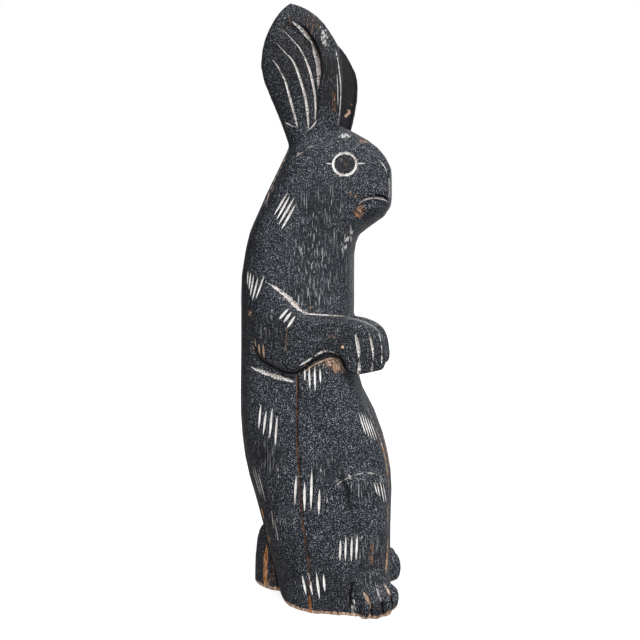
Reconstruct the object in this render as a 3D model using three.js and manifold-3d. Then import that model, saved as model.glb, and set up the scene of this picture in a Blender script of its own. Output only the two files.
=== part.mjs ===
// A carved wooden rabbit that stands upright, cut from one solid log.
// Units are millimetres and +Z is up. The rabbit faces +X and its right side faces -Y.
// The origin is on the flat underside, below the middle of the body.

import * as THREE from 'three';
import { mergeVertices } from 'three/addons/utils/BufferGeometryUtils.js';
import Module from 'manifold-3d';

// Head and ears
const CROWN = 778; // top of the head above the ground
const EAR_TIP = 955; // tip of the right ear above the ground
const EAR_ROOT = 700; // height inside the head where the ears begin
const EAR_HINGE = 735; // height about which the left ear leans
const LEFT_EAR_LEAN = THREE.MathUtils.degToRad(5); // the left ear leans a little further forward
const LEFT_EAR_FORWARD = 2;
const EAR_SQUARE = 2.5; // how square the section of an ear is, where 2 is round
const HOLLOW_FOOT = 748; // lower and upper end of the hollow in each ear
const HOLLOW_TOP = 924;
const HOLLOW_DEPTH = 6; // the step at the front of that hollow
const CLEARANCE = 20; // how far the cutting shapes reach out into the air
const EYE_X = 52;
const EYE_Z = 690;
const EYE_RADIUS = 15.5;
const EYE_RING = 3.5; // width of the groove round the eye
const EYE_RING_DEPTH = 3;

// Arms
const ARM_REACH = 85; // outer face of the forearm, measured from the middle plane
const ARM_INNER = 17; // inner face of the arm, measured from the middle plane
const ARM_RELIEF = 10; // how far the upper arm stands out from the flank
const ARM_EDGE = 11; // radius of the rounded edge of the arm
const ARM_SEAM = 0.88; // how far in from its edge, towards its middle, the arm is shaped in rings
const PAW_X = 112; // tips of the paws
const PAW_TURN_IN = 24; // how far the tip of each paw turns in towards the middle

// Tail, feet and knees
const TAIL_MIDDLE = -50;
const TAIL_HEIGHT = 96;
const TAIL_HALF_WIDTH = 34;
const TAIL_REACH = 64; // how far the tail reaches behind its middle
const TAIL_BULGE = 28; // how much of that reach rounds off towards the top of the tail
const TAIL_ROUNDING = 0.4; // how sharply the tail closes towards its top
const TAIL_SQUARE = 2.2;
const TAIL_ROOT = 0.3; // its reach ahead of its middle, as a share of its reach behind
const INSTEP = { x: 72, outward: 42, height: 24, radius: 35, rise: 45 };
const TOE_RADIUS = 13;
const TOE_ROOT = 0.35; // where a toe begins, as a share of the way from the instep to its tip
const RIGHT_TOES = { height: 12, rise: 23 }; // height of a toe's middle and half its thickness
const LEFT_TOES = { height: 26, rise: 25 };
const KNEE_X = 83;
const KNEE_TOP = 218;
const KNEE_FOOT = 105;
const KNEE_ROOT = 20; // how deep the knee is set into the flank
const KNEE_SQUARE = 2.6; // how square its outline is, where 2 is round

// Tool marks, as the width and depth of a vee
const GOUGE = { width: 4.4, depth: 2 };
const EAR_FOLD = { width: 3.5, depth: 2.5 };
const EAR_FOOT_CUT = { width: 3.5, depth: 2 };
const SHOULDER_CUT = { width: 7, depth: 3.5 };
const ELBOW_CUT = { width: 5, depth: 2.5 };
const FINGER_CUT = { width: 5, depth: 4 };
const MOUTH_CUT = { width: 4, depth: 4 };
const DRYING_CRACK = { width: 3, depth: 6 };

// Fineness of the surfaces
const TRUNK_SIDES = 28;
const EAR_SIDES = 16;
const LIMB_SIDES = 10;
const TAIL_SIDES = 18;
const ARM_SIDES = 38;
const EYE_SIDES = 14;

const wasm = await Module();
wasm.setup();

// A smooth curve through stations [place, value] that never swings past them
function curveThrough(stations) {
  const place = stations.map((station) => station[0]);
  const value = stations.map((station) => station[1]);
  const last = place.length - 1;
  const step = place.slice(1).map((p, i) => p - place[i]);
  const rise = step.map((s, i) => (value[i + 1] - value[i]) / s);
  const slope = place.map((p, i) => {
    if (i === 0) return rise[0];
    if (i === last) return rise[last - 1];
    if (rise[i - 1] * rise[i] <= 0) return 0;
    const before = 2 * step[i] + step[i - 1];
    const after = step[i] + 2 * step[i - 1];
    return (before + after) / (before / rise[i - 1] + after / rise[i]);
  });
  return (at) => {
    const p = Math.min(Math.max(at, place[0]), place[last]);
    let i = 0;
    while (i < last - 1 && p > place[i + 1]) i += 1;
    const t = (p - place[i]) / step[i];
    const back = 1 - t;
    return (
      (1 + 2 * t) * back * back * value[i] +
      t * back * back * step[i] * slope[i] +
      t * t * (3 - 2 * t) * value[i + 1] -
      t * t * back * step[i] * slope[i + 1]
    );
  };
}

function spread(from, to, count) {
  return Array.from({ length: count }, (unused, i) => from + ((to - from) * i) / (count - 1));
}

// The angles of the corners of a section, all the way round
function roundTurns(sides) {
  return spread(0, 2 * Math.PI, sides + 1).slice(0, -1);
}

// A number keeps its sign while its size is raised to a power
function signedPower(number, power) {
  return Math.sign(number) * Math.abs(number) ** power;
}

function meanOf(points) {
  const middle = new THREE.Vector3();
  points.forEach((point) => middle.add(point));
  return middle.divideScalar(points.length);
}

function indexed(points, index) {
  const geometry = new THREE.BufferGeometry();
  const position = new Float32Array(points.flatMap((point) => point.toArray()));
  geometry.setAttribute('position', new THREE.BufferAttribute(position, 3));
  geometry.setIndex(index);
  return geometry;
}

// A closed surface through rings of points, drawn together to a tip at each end
function loft(rings, tips = [meanOf(rings[0]), meanOf(rings[rings.length - 1])]) {
  const sides = rings[0].length;
  const points = [...rings.flat(), ...tips];
  const first = points.length - 2;
  const top = (rings.length - 1) * sides;
  const index = [];
  for (let j = 0; j < sides; j += 1) {
    const next = (j + 1) % sides;
    for (let i = 0; i < rings.length - 1; i += 1) {
      const low = i * sides;
      const high = low + sides;
      index.push(low + j, low + next, high + next, low + j, high + next, high + j);
    }
    index.push(first, next, j, first + 1, top + j, top + next);
  }
  return indexed(points, index);
}

// The signed volume tells whether the faces of a closed surface point out
function signedVolume(position, index) {
  const a = new THREE.Vector3();
  const b = new THREE.Vector3();
  const c = new THREE.Vector3();
  let sum = 0;
  for (let i = 0; i < index.length; i += 3) {
    a.fromArray(position, index[i] * 3);
    b.fromArray(position, index[i + 1] * 3);
    c.fromArray(position, index[i + 2] * 3);
    sum += a.dot(b.cross(c));
  }
  return sum;
}

// A closed surface becomes a solid that can be joined and cut
function solid(geometry) {
  const position = geometry.getAttribute('position').array;
  const index = Array.from(geometry.getIndex().array);
  if (signedVolume(position, index) < 0) index.reverse();
  return new wasm.Manifold(
    new wasm.Mesh({
      numProp: 3,
      vertProperties: new Float32Array(position),
      triVerts: new Uint32Array(index),
    }),
  );
}

function joined(solids) {
  return solids.reduce((whole, next) => whole.add(next));
}

// A point of the rabbit's right side, for side = 1, or of its left side, for side = -1
function at(x, outward, z, side = 1) {
  return new THREE.Vector3(x, -side * outward, z);
}

// Profiles of the trunk against height: its reach ahead and behind, its half width, how square its
// front and back corners are (2 is round), and how much it narrows towards the front
const ahead = curveThrough([
  [0, 116], [110, 117], [170, 119], [225, 112], [295, 89], [345, 64], [400, 55], [560, 56], [588, 62],
  [612, 92], [630, 116], [650, 120], [690, 120], [714, 110], [735, 90], [752, 65], [768, 38], [CROWN, 18],
]);
const behind = curveThrough([
  [0, 62], [100, 88], [170, 108], [215, 122], [300, 131], [400, 130], [510, 131], [580, 121], [640, 97],
  [700, 67], [735, 51], [768, 44], [CROWN, 25],
]);
const halfWidth = curveThrough([
  [0, 77], [60, 78], [170, 80], [300, 78], [400, 76], [500, 74], [560, 70], [620, 66],
  [680, 63], [715, 58], [745, 46], [765, 32], [CROWN, 12],
]);
const squareAhead = curveThrough([
  [0, 4.5], [300, 4.2], [420, 4], [560, 3.6], [640, 4], [740, 3], [CROWN, 2.5],
]);
const squareBehind = curveThrough([[0, 2.5], [200, 2.7], [400, 2.8], [600, 2.5], [CROWN, 2.3]]);
const narrowing = curveThrough([
  [0, 0.12], [180, 0.16], [400, 0.1], [560, 0.1], [640, 0.22], [700, 0.24], [CROWN, 0.2],
]);

// Middle and half length of the trunk at a height
function trunkSpan(z) {
  return { middle: (ahead(z) - behind(z)) / 2, half: (ahead(z) + behind(z)) / 2 };
}

// How far the side of the trunk stands out at a place along it and a height
function flank(x, z) {
  const { middle, half } = trunkSpan(z);
  const along = THREE.MathUtils.clamp((x - middle) / half, -1, 1);
  const square = along > 0 ? squareAhead(z) : squareBehind(z);
  const full = halfWidth(z) * (1 - Math.abs(along) ** square) ** (1 / square);
  return full * (1 - narrowing(z) * along);
}

// The rings of the trunk lie closer together round the throat and the head
const trunkHeights = [...spread(0, 225, 8), ...spread(256, 560, 9), ...spread(578, 768, 14), CROWN];

function trunk() {
  const rings = trunkHeights.map((z) => {
    const { middle, half } = trunkSpan(z);
    return roundTurns(TRUNK_SIDES).map((turn) => {
      const forward = Math.sin(turn);
      const square = forward > 0 ? squareAhead(z) : squareBehind(z);
      const along = signedPower(forward, 2 / square);
      const across = halfWidth(z) * signedPower(Math.cos(turn), 2 / square);
      return at(middle + half * along, across * (1 - narrowing(z) * along), z);
    });
  });
  return solid(loft(rings));
}

// The ear is a leaf: its reach ahead and behind, the place of its middle and its half thickness
const earAhead = curveThrough([
  [EAR_ROOT, 32], [735, 35], [770, 41], [800, 45], [845, 47], [875, 42], [900, 29], [925, 11], [945, -14],
  [EAR_TIP, -35],
]);
const earBehind = curveThrough([
  [EAR_ROOT, 39], [735, 46], [770, 58], [800, 69], [830, 82], [860, 88], [888, 85], [912, 76], [935, 62],
  [950, 47], [EAR_TIP, 39],
]);
const earMiddle = curveThrough([[EAR_ROOT, 24], [740, 30], [800, 42], [860, 49], [EAR_TIP, 50]]);
const earHalf = curveThrough([
  [EAR_ROOT, 20], [740, 20], [800, 20], [860, 18], [910, 14], [940, 9], [EAR_TIP, 3],
]);

function earSpan(z) {
  return { middle: (earAhead(z) - earBehind(z)) / 2, half: (earAhead(z) + earBehind(z)) / 2 };
}

// How far the outer face of an ear stands from the middle plane
function earFace(x, z) {
  const { middle, half } = earSpan(z);
  const along = THREE.MathUtils.clamp(Math.abs((x - middle) / half), 0, 1);
  return earMiddle(z) + earHalf(z) * (1 - along ** EAR_SQUARE) ** (1 / EAR_SQUARE);
}

// The left ear leans and stands a little further forward than the right one
function placeOnEar(x, outward, z, side) {
  if (side === 1) return at(x, outward, z, side);
  const lift = z - EAR_HINGE;
  const lean = Math.max(lift, 0) / (EAR_TIP - EAR_HINGE);
  return at(
    x * Math.cos(LEFT_EAR_LEAN * lean) + lift * Math.sin(LEFT_EAR_LEAN) + LEFT_EAR_FORWARD,
    outward,
    EAR_HINGE + lift * Math.cos(LEFT_EAR_LEAN) - x * Math.sin(LEFT_EAR_LEAN) * lean,
    side,
  );
}

function ear(side) {
  const heights = spread(0, Math.PI / 2, 15).map((turn) => EAR_ROOT + (EAR_TIP - EAR_ROOT) * Math.sin(turn));
  const rings = heights.map((z) => {
    const { middle, half } = earSpan(z);
    return roundTurns(EAR_SIDES).map((turn) => {
      const x = middle + half * signedPower(Math.sin(turn), 2 / EAR_SQUARE);
      const outward = earMiddle(z) + earHalf(z) * signedPower(Math.cos(turn), 2 / EAR_SQUARE);
      return placeOnEar(x, outward, z, side);
    });
  });
  return solid(loft(rings));
}

// The hollow of an ear: a step along its front and foot, running out to nothing at the back of the ear
const hollowFront = curveThrough([
  [HOLLOW_FOOT, -15], [765, 6], [790, 9], [830, 13], [851, 12], [874, 4], [902, -17], [HOLLOW_TOP, -38],
]);
const hollowBack = curveThrough([
  [HOLLOW_FOOT, -19], [766, -47], [800, -62], [830, -74], [860, -80], [890, -77], [910, -66],
  [HOLLOW_TOP, -42],
]);

// The floor of the hollow, as its distance from the middle plane
function hollowFloor(x, z) {
  const part = (x - hollowBack(z)) / (hollowFront(z) - hollowBack(z));
  return earFace(x, z) + 1 - (HOLLOW_DEPTH + 1) * THREE.MathUtils.clamp(part, 0, 1) ** 0.8;
}

function earHollow(side) {
  const rings = spread(HOLLOW_FOOT, HOLLOW_TOP, 10).map((z) => {
    const floor = spread(hollowBack(z), hollowFront(z), 4).map((x) => [x, hollowFloor(x, z)]);
    const roof = [hollowFront(z) + 2, hollowBack(z)].map((x) => [x, earFace(x, z) + CLEARANCE]);
    return [...floor, ...roof].map(([x, outward]) => placeOnEar(x, outward, z, side));
  });
  return solid(loft(rings));
}

// The folds of the ear: long cuts that rise from the foot of the hollow and bend towards the back
const earFolds = [
  [[-26, 756], [-30, 776], [-37, 804], [-44, 829], [-65, 864]],
  [[-8, 752], [-10, 791], [-17, 822], [-29, 855], [-58, 889]],
  [[3, 764], [4, 783], [2, 813], [-5, 845], [-18, 874], [-45, 907]],
];

// A short vee under the ear marks where it meets the head
const earFoot = [[-47, 766], [-26, 755], [-16, 749], [-6, 751], [8, 767]];

function tail() {
  const rings = spread(0, 0.98 * (Math.PI / 2), 8).map((rise) => {
    const swell = Math.cos(rise) ** TAIL_ROUNDING;
    const reach = TAIL_REACH - TAIL_BULGE * (1 - swell);
    return roundTurns(TAIL_SIDES).map((turn) => {
      const along = signedPower(Math.sin(turn), 2 / TAIL_SQUARE);
      const outward = TAIL_HALF_WIDTH * swell * signedPower(Math.cos(turn), 2 / TAIL_SQUARE);
      return at(TAIL_MIDDLE + reach * along * (along > 0 ? TAIL_ROOT : 1), outward, TAIL_HEIGHT * Math.sin(rise));
    });
  });
  return solid(loft(rings));
}

// The side view of the arm and its paw, from the elbow round below the forearm to the fingers, then
// back along the top of the forearm and up the front of the shoulder
const armOutline = new THREE.CatmullRomCurve3(
  [
    [-93, 420], [-82, 391], [-57, 377], [-33, 369], [-15, 373], [2, 386], [22, 396], [38, 398], [49, 388],
    [56, 371], [65, 365], [80, 366], [94, 369], [107, 373], [114, 384], [PAW_X, 404], [109, 420], [101, 434],
    [88, 443], [72, 449], [50, 453], [10, 456], [-12, 460], [-38, 484], [-66, 508], [-98, 515], [-118, 480],
    [-108, 445],
  ].map(([x, z]) => at(x, 0, z)),
  true,
);

// The middle of the arm, from the shoulder by the elbow to the fingers
const armMiddle = new THREE.CatmullRomCurve3(
  [[-90, 472], [-66, 432], [-25, 416], [25, 427], [66, 424], [84, 402]].map(([x, z]) => at(x, 0, z)),
);

// The place along the middle of the arm, from 0 to 1, that lies nearest to a point
function placeOnArm(point) {
  const places = spread(0, 1, 60);
  const distances = places.map((place) => armMiddle.getPoint(place).distanceTo(point));
  return places[distances.indexOf(Math.min(...distances))];
}

// The mean of each number and its neighbours, round a closed row
function evenedOut(numbers, reach) {
  const near = spread(-reach, reach, 2 * reach + 1);
  const count = numbers.length;
  return numbers.map((unused, i) => {
    const sum = near.reduce((total, step) => total + numbers[(i + step + count) % count], 0);
    return sum / near.length;
  });
}

// The outer face of the arm lies on the flank at the shoulder and stands free of it at the paw
function armFace(x, z) {
  const shoulder = THREE.MathUtils.smoothstep(515 - z, 0, 70);
  const back = THREE.MathUtils.smoothstep(x, -122, -62);
  const onFlank = flank(x, z) + ARM_RELIEF * shoulder * back - 2;
  const free = ARM_REACH - (PAW_TURN_IN * Math.max(x, -60)) / PAW_X;
  return onFlank + THREE.MathUtils.smoothstep(x, -80, -5) * Math.max(free - onFlank, 0);
}

function arm(side) {
  const outline = armOutline.getPoints(ARM_SIDES).slice(0, -1);
  const places = evenedOut(outline.map(placeOnArm), 2);
  const middle = places.map((place) => armMiddle.getPoint(place));
  const rounded = spread(0, Math.PI / 2, 3).map((turn) => ({
    inset: ARM_EDGE * (1 - Math.cos(turn)),
    part: 0,
    rise: ARM_EDGE * (Math.sin(turn) - 1),
  }));
  const layers = [
    { inset: ARM_EDGE, part: 0, reach: ARM_INNER },
    { inset: 0, part: 0, reach: ARM_INNER + ARM_EDGE },
    ...rounded,
    { inset: 0, part: 0.5, rise: 0 },
    { inset: 0, part: ARM_SEAM, rise: 0 },
  ];
  const rings = layers.map(({ inset, part, rise, reach }) =>
    outline.map((point, i) => {
      const towards = Math.min(Math.max(inset / point.distanceTo(middle[i]), part), ARM_SEAM);
      const { x, z } = point.clone().lerp(middle[i], towards);
      return at(x, reach ?? armFace(x, z) + rise, z, side);
    }),
  );
  return solid(closedArm(loft(rings), rings, places));
}

// The outline of an arm is not star shaped, so the tips of its loft give way to a flat filling on the
// inner face and to a seam of triangles across the strip along the middle of the outer face
function closedArm(geometry, rings, places) {
  const last = rings.length - 1;
  const tips = rings.length * places.length;
  const walls = Array.from(geometry.getIndex().array).filter(
    (unused, i, all) => Math.max(...all.slice(i - (i % 3), i - (i % 3) + 3)) < tips,
  );
  const seam = seamAcross(places).map((corner) => corner + last * places.length);
  geometry.setIndex([...walls, ...flatFilling(rings[0]), ...seam]);
  return geometry;
}

function flatFilling(ring) {
  const contour = ring.map((point) => new THREE.Vector2(point.x, point.z));
  const filling = THREE.ShapeUtils.triangulateShape(contour, []);
  return filling.flatMap(([a, b, c]) => (THREE.ShapeUtils.isClockWise(contour) ? [a, b, c] : [a, c, b]));
}

// From the shoulder on, the two sides of the strip are joined in turn, whichever lags behind
function seamAcross(places) {
  const count = places.length;
  let up = places.indexOf(Math.min(...places));
  let down = (up + count - 1) % count;
  const index = [];
  for (let left = count - 2; left > 0; left -= 1) {
    const nextUp = (up + 1) % count;
    const nextDown = (down + count - 1) % count;
    if (places[nextUp] <= places[nextDown]) {
      index.push(up, nextUp, down);
      up = nextUp;
    } else {
      index.push(nextDown, down, up);
      down = nextDown;
    }
  }
  return index;
}

// Two grooves part the fingers of each paw
const fingerGrooves = [
  [[68, 432], [74, 412], [76, 396], [75, 380], [72, 362]],
  [[89, 430], [94, 412], [96, 398], [95, 382], [93, 366]],
];

// A rounded mass on the ground, as wide as its radius and as high as its rise above its middle
function mound(middle, radius, rise) {
  const ball = new THREE.SphereGeometry(1, LIMB_SIDES + 4, LIMB_SIDES);
  ball.deleteAttribute('normal');
  ball.deleteAttribute('uv');
  ball.rotateX(Math.PI / 2);
  ball.scale(radius, radius, rise);
  ball.translate(middle.x, middle.y, middle.z);
  return solid(mergeVertices(ball));
}

// A tapering finger of wood from one place to another, closed by half a ball; each end has its own
// radius and half height
function digit(from, to, fromRadius, fromRise, toRadius, toRise) {
  const along = to.clone().sub(from).normalize();
  const across = new THREE.Vector3(0, 0, 1).cross(along).normalize();
  const up = along.clone().cross(across);
  const halfBall = spread(Math.PI / 2, 0.1, 4);
  const stops = [
    [from, fromRadius, fromRise, 0, 1],
    ...halfBall.map((turn) => [to, toRadius, toRise, Math.cos(turn), Math.sin(turn)]),
  ];
  const rings = stops.map(([centre, radius, rise, push, girth]) =>
    roundTurns(LIMB_SIDES).map((turn) =>
      centre
        .clone()
        .addScaledVector(along, radius * push)
        .addScaledVector(across, radius * girth * Math.cos(turn))
        .addScaledVector(up, rise * girth * Math.sin(turn)),
    ),
  );
  return solid(loft(rings));
}

// Toes fan out from the instep: each tip's place ahead and its distance from the middle plane
const toeTips = [[92, 79], [111, 71], [126, 57], [133, 36]];

function foot(side) {
  const { height, rise } = side === 1 ? RIGHT_TOES : LEFT_TOES;
  const instep = at(INSTEP.x, INSTEP.outward, INSTEP.height, side);
  const toes = toeTips.map(([x, outward]) => {
    const tip = at(x, outward, height, side);
    tip.sub(tip.clone().sub(instep).setZ(0).setLength(TOE_RADIUS));
    const root = instep.clone().lerp(tip, TOE_ROOT);
    const rootRadius = THREE.MathUtils.lerp(INSTEP.radius, TOE_RADIUS, TOE_ROOT);
    const rootRise = THREE.MathUtils.lerp(INSTEP.rise, rise, TOE_ROOT);
    return digit(root, tip, rootRadius, rootRise, TOE_RADIUS, rise);
  });
  return joined([mound(instep, INSTEP.radius, INSTEP.rise), ...toes]);
}

// All that would reach below the ground is cut away flat
function ground() {
  const width = 600;
  const thickness = 100;
  const block = new THREE.BoxGeometry(width, width, thickness);
  block.deleteAttribute('normal');
  block.deleteAttribute('uv');
  block.translate(0, 0, -thickness / 2);
  return solid(mergeVertices(block));
}

// The knee swells out of the flank, steep along its top and back and fading below
const kneeReach = curveThrough([
  [KNEE_FOOT, -3], [125, -0.5], [150, 3], [180, 6.5], [203, 7], [214, 5], [KNEE_TOP, 0],
]);
const kneeHalf = curveThrough([[KNEE_FOOT, 18], [150, 28], [185, 31], [203, 29], [214, 20], [KNEE_TOP, 8]]);

function kneeFace(x, z) {
  const along = THREE.MathUtils.clamp(Math.abs(x - KNEE_X) / kneeHalf(z), 0, 1);
  return flank(x, z) + kneeReach(z) * (1 - along ** KNEE_SQUARE) ** (1 / KNEE_SQUARE);
}

function knee(side) {
  const heights = [...spread(KNEE_FOOT, 195, 6), ...spread(203, KNEE_TOP, 3)];
  const rings = heights.map((z) =>
    roundTurns(LIMB_SIDES).map((turn) => {
      const x = KNEE_X + kneeHalf(z) * signedPower(Math.sin(turn), 2 / KNEE_SQUARE);
      const swell = signedPower(Math.cos(turn), 2 / KNEE_SQUARE);
      return at(x, flank(x, z) + swell * (swell > 0 ? kneeReach(z) : KNEE_ROOT), z, side);
    }),
  );
  return solid(loft(rings));
}

// A cut along a path of [point, outward direction] pairs: a vee that runs out to nothing at its ends
function veeCut(path, { width, depth }) {
  const last = path.length - 1;
  const rings = path.slice(1, -1).map(([point, outward], i) => {
    const across = path[i + 2][0].clone().sub(path[i][0]).cross(outward).normalize();
    const swell = Math.sin((Math.PI * (i + 1)) / last) ** 0.4;
    const [floor, lip] = [-depth, depth].map((rise) => point.clone().addScaledVector(outward, rise * swell));
    return [
      floor,
      lip.clone().addScaledVector(across, width * swell),
      lip.clone().addScaledVector(across, -width * swell),
    ];
  });
  return solid(loft(rings, [path[0][0], path[last][0]]));
}

// A smooth path over a face through [x, z] places; the face gives the distance from the middle plane
function surfacePath(places, face, side, steps, place = at) {
  const curve = new THREE.CatmullRomCurve3(places.map(([x, z]) => new THREE.Vector3(x, 0, z)));
  return curve.getPoints(steps).map(({ x, z }) => {
    const slopeX = (face(x + 2, z) - face(x - 2, z)) / 4;
    const slopeZ = (face(x, z + 2) - face(x, z - 2)) / 4;
    const normal = new THREE.Vector3(-slopeX, -side, -slopeZ).normalize();
    return [place(x, face(x, z), z, side), normal];
  });
}

// The groove round the eye leaves the eyeball standing as a low dome
function eyeGroove(side) {
  const outward = at(0, 1, 0, side);
  const points = roundTurns(EYE_SIDES).flatMap((turn) => {
    const away = new THREE.Vector3(Math.cos(turn), 0, Math.sin(turn));
    const place = new THREE.Vector3(EYE_X, 0, EYE_Z).addScaledVector(away, EYE_RADIUS + EYE_RING / 2);
    place.addScaledVector(outward, flank(place.x, place.z));
    const lip = place.clone().addScaledVector(outward, EYE_RING_DEPTH);
    return [
      place.clone().addScaledVector(outward, -EYE_RING_DEPTH),
      lip.clone().addScaledVector(away, EYE_RING),
      lip.clone().addScaledVector(away, -EYE_RING),
    ];
  });
  const index = [];
  for (let i = 0; i < EYE_SIDES; i += 1) {
    const next = (i + 1) % EYE_SIDES;
    for (let j = 0; j < 3; j += 1) {
      const k = (j + 1) % 3;
      index.push(i * 3 + j, i * 3 + k, next * 3 + k, i * 3 + j, next * 3 + k, next * 3 + j);
    }
  }
  return solid(indexed(points, index));
}

const mouth = [[72, 625], [84, 633], [96, 638], [104, 638], [113, 634], [121, 628]];
const shoulderLine = [[-69, 507], [-38, 484], [-12, 458]];
const belowElbow = [[-97, 371], [-77, 369], [-58, 362], [-27, 352]];

// A drying crack runs down the right side, from below the elbow through the rim of the underside
const crack = [[-21, 368], [-20, 264], [-12, 160], [0, 65], [-2, 28], [0, -8]];

// Groups of straight gouge cuts: how many, the face they are in, and the top and foot of the first
// and of the last cut
const gougeGroups = [
  { count: 4, face: flank, first: [[-39, 648], [-61, 612]], last: [[-25, 629], [-47, 590]] },
  { count: 2, face: flank, first: [[-71, 665], [-84, 629]], last: [[-63, 665], [-76, 630]] },
  { count: 5, face: flank, first: [[-105, 528], [-106, 502]], last: [[-73, 518], [-86, 480]] },
  { count: 3, face: armFace, first: [[-33, 466], [-45, 451]], last: [[-19, 455], [-32, 440]] },
  { count: 3, face: armFace, first: [[-92, 420], [-89, 406]], last: [[-71, 411], [-70, 392]] },
  { count: 4, face: flank, first: [[-10, 374], [-8, 347]], last: [[15, 374], [17, 350]] },
  { count: 4, face: flank, first: [[-78, 314], [-81, 279]], last: [[-50, 299], [-54, 258]] },
  { count: 4, face: flank, first: [[73, 305], [84, 274]], last: [[88, 288], [98, 262]] },
  { count: 4, face: flank, first: [[-20, 210], [-22, 168]], last: [[16, 200], [16, 154]] },
  { count: 3, face: flank, first: [[-96, 218], [-79, 167]], last: [[-84, 215], [-69, 168]] },
  { count: 3, face: kneeFace, first: [[103, 201], [108, 177]], last: [[110, 196], [114, 173]] },
  { count: 4, face: flank, first: [[48, 118], [47, 84]], last: [[72, 122], [72, 87]] },
  { count: 4, face: flank, first: [[-10, 56], [-5, 27]], last: [[23, 62], [25, 35]] },
];

function gougeCuts({ count, face, first, last }, side) {
  return spread(0, 1, count).map((part) => {
    const stroke = first.map(([x, z], i) => [
      THREE.MathUtils.lerp(x, last[i][0], part),
      THREE.MathUtils.lerp(z, last[i][1], part),
    ]);
    return veeCut(surfacePath(stroke, face, side, 2), GOUGE);
  });
}

function rabbit() {
  const sides = [1, -1];
  const limbs = sides.flatMap((side) => [ear(side), arm(side), foot(side), knee(side)]);
  const body = joined([trunk(), tail(), ...limbs]);
  const cuts = sides.flatMap((side) => [
    earHollow(side),
    ...earFolds.map((fold) => veeCut(surfacePath(fold, hollowFloor, side, 6, placeOnEar), EAR_FOLD)),
    veeCut(surfacePath(earFoot, earFace, side, 4, placeOnEar), EAR_FOOT_CUT),
    ...fingerGrooves.map((groove) => veeCut(surfacePath(groove, armFace, side, 5), FINGER_CUT)),
    veeCut(surfacePath(shoulderLine, flank, side, 4), SHOULDER_CUT),
    veeCut(surfacePath(belowElbow, flank, side, 4), ELBOW_CUT),
    eyeGroove(side),
    veeCut(surfacePath(mouth, flank, side, 6), MOUTH_CUT),
    ...gougeGroups.flatMap((group) => gougeCuts(group, side)),
  ]);
  cuts.push(ground(), veeCut(surfacePath(crack, flank, 1, 7), DRYING_CRACK));
  return cuts.reduce((whole, cut) => whole.subtract(cut), body);
}

function meshOf(body, name, material) {
  const { vertProperties, triVerts } = body.getMesh();
  const geometry = new THREE.BufferGeometry();
  geometry.setAttribute('position', new THREE.BufferAttribute(vertProperties, 3));
  geometry.setIndex(new THREE.BufferAttribute(triVerts, 1));
  geometry.computeVertexNormals();
  const mesh = new THREE.Mesh(geometry, material);
  mesh.name = name;
  return mesh;
}

const paintedWood = new THREE.MeshStandardMaterial({ color: 0x32363d, roughness: 0.55, metalness: 0 });

const figure = new THREE.Group();
figure.add(meshOf(rabbit(), 'carved_rabbit', paintedWood));

export default figure;
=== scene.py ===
import math
import random

import bmesh
import bpy
import numpy as np
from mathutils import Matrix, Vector


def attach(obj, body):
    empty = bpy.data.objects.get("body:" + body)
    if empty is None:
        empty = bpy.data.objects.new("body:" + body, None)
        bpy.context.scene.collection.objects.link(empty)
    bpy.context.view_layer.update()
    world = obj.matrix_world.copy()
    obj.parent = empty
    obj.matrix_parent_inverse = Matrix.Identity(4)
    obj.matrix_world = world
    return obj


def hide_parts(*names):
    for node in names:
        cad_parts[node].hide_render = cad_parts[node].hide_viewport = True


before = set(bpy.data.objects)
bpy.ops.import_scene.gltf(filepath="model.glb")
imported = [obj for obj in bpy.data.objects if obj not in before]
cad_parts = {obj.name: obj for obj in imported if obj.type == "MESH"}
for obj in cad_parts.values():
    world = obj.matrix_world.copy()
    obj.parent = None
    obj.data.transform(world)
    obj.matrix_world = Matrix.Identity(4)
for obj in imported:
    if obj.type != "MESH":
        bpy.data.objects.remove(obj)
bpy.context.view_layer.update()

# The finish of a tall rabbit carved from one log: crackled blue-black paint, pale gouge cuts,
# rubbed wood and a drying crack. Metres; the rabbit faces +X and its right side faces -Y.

MM = 0.001
RIGHT = 1
LEFT = -1
BOTH_SIDES = (RIGHT, LEFT)

# The camera stands close to the figure's right side, a little in front of it, at half its height
CAMERA_DISTANCE = 845 * MM
CAMERA_HEIGHT = 480 * MM
CAMERA_TURN = math.radians(12)
CAMERA_LENS = 28.2
CAMERA_SENSOR = 36
CAMERA_SHIFT_Y = -0.031
CAMERA_NEAREST = 10 * MM

# A broad soft light from above, in front and to the right of the figure; softness in degrees
KEY_TOWARDS = (-0.40, 0.64, -0.72)
KEY_STRENGTH = 3.55
KEY_SOFTNESS = 65
# A weaker one from the far side, so that side is seen too
FILL_TOWARDS = (0.15, -0.93, -0.40)
FILL_STRENGTH = 2.1
FILL_SOFTNESS = 60
ROOM_LIGHT = 0.12
WHITE = (1, 1, 1, 1)
FLOOR_REACH = 40
FLOOR_GREY = (0.45, 0.45, 0.45, 1)
FLOOR_ROUGHNESS = 0.9
FLOOR_GLOW = 0.72  # keeps the floor white to the eye where the shadow lies

# The surface
SAME_POINT = 0.01 * MM
SKIN_GRAIN = 3.1 * MM  # size of the faces of the carved skin
SMOOTHING_ROUNDS = 32
SMOOTHING_PULLS = (0.6, -0.62)  # a pull in and a push out, so that the form hardly shrinks
CRISP_FADE = 18  # how soon crispness fades at the edge of its place, in millimetres
CRISP_HOLD = 0.93  # the share of the smoothing that is held back there
UNDERSIDE_RIM = 1.2 * MM  # what lies below this height stays flat
RELIEF_STEPS = 24
RELIEF_FADE = 6 * MM  # soft relief dies out towards the ground below this height
MOST_TRIANGLES = 190000

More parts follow.
